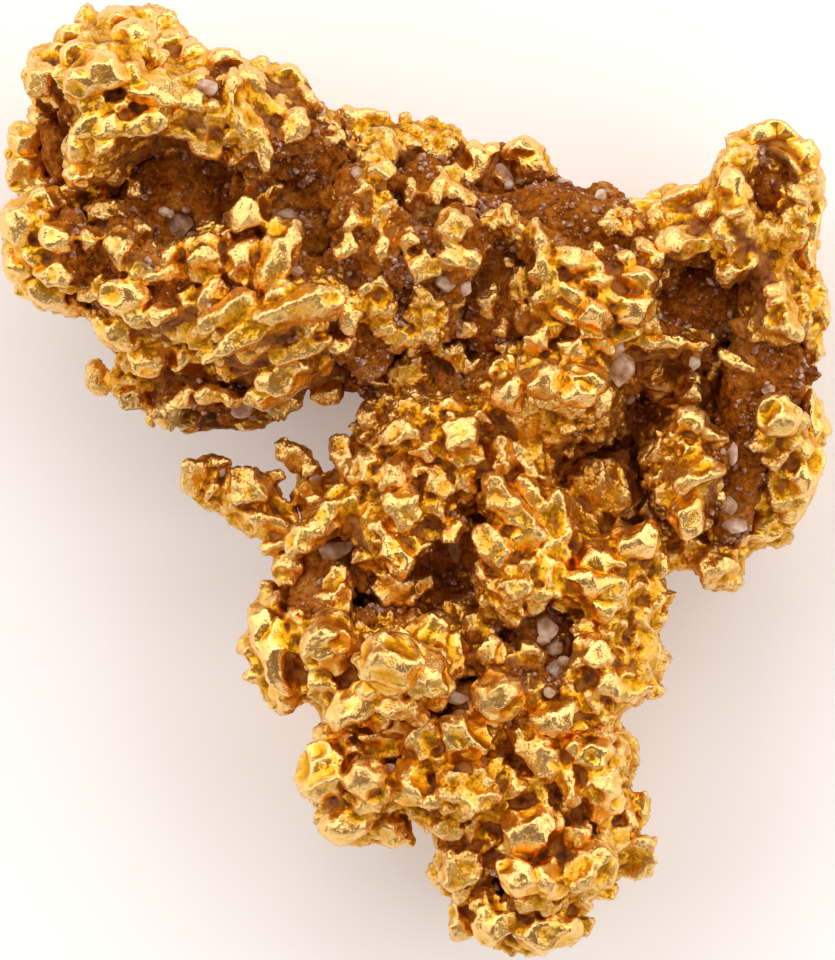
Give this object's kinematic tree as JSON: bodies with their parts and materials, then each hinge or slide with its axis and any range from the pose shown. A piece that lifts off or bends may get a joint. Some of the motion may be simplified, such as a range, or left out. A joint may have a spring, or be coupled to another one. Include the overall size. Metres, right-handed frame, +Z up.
{
  "type": "gold nugget",
  "caption": "Three-armed natural gold nugget of fused lumps and crystals, with ironstone earth and quartz grains in its hollows.",
  "frame": {"origin": "on the surface it rests on, under the middle of the nugget's box", "axes": "+Z up from the surface it rests on; +Y runs from the tip of the leg to the two arms; +X runs from the hollowed left arm to the right arm"},
  "size_m": [0.035, 0.0402, 0.0158],
  "materials": {
    "gold": "natural gold, worn bright on the high lumps, duller in the folds",
    "ironstone_earth": "rust-brown iron-stained earth, rough and slightly damp looking",
    "quartz": "milky, faintly pink quartz grains"
  },
  "bodies": {
    "root": {"gold_body": "gold", "earth_left_bowl": "ironstone_earth", "earth_upper_left": "ironstone_earth", "earth_saddle": "ironstone_earth", "earth_right_hollow": "ironstone_earth", "earth_crest_hollow": "ironstone_earth", "earth_central_hollow": "ironstone_earth", "earth_lower_hollow": "ironstone_earth", "earth_leg": "ironstone_earth", "earth_leg_front": "ironstone_earth", "earth_foot": "ironstone_earth", "earth_arm_notch": "ironstone_earth", "earth_under_arm": "ironstone_earth", "quartz_bowl": "quartz", "quartz_bowl_right": "quartz", "quartz_saddle_round": "quartz", "quartz_ledge": "quartz", "quartz_under_arm": "quartz", "quartz_leg_upper": "quartz", "quartz_leg_lower": "quartz", "quartz_right": "quartz"}
  },
  "joints": []
}
